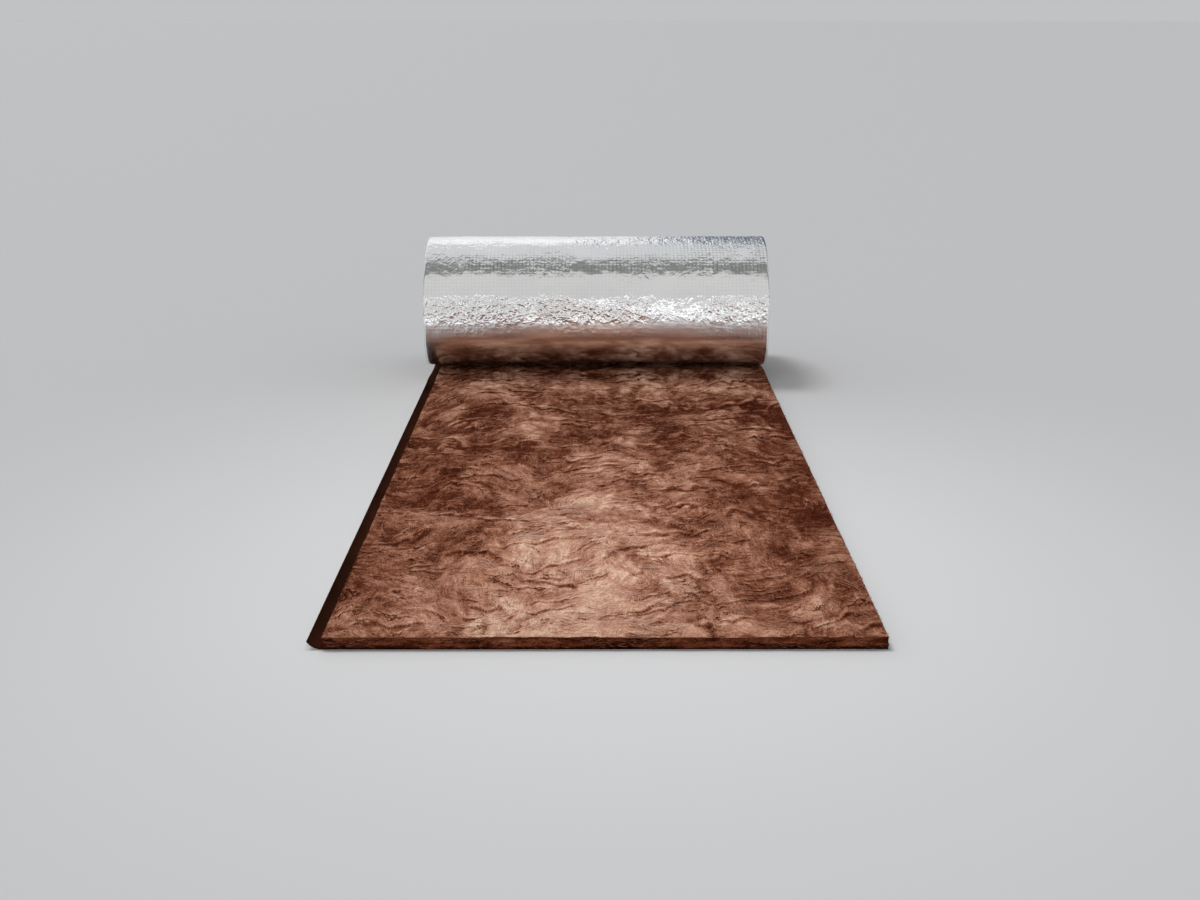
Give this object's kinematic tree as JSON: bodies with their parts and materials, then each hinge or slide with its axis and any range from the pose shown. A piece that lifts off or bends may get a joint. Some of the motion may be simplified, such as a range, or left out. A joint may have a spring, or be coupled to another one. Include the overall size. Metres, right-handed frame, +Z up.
{
  "type": "insulation roll",
  "caption": "Roll of brown mineral-wool blanket with an aluminium-foil facing and a lap flange, its free end unrolled flat; wraps ducts, pipes and roofs as thermal insulation.",
  "frame": {"origin": "centre of the part's footprint on the floor", "axes": "+X along the roll's axis, away from the flange; +Y from the tail's cut end towards the roll; +Z up"},
  "size_m": [1.24, 2.6002, 0.5005],
  "materials": {
    "wool": "matte brown mineral wool",
    "foil": "bright crinkled foil with a scrim grid"
  },
  "bodies": {
    "root": {"wool_blanket": "wool", "foil_facing": "foil"}
  },
  "joints": []
}
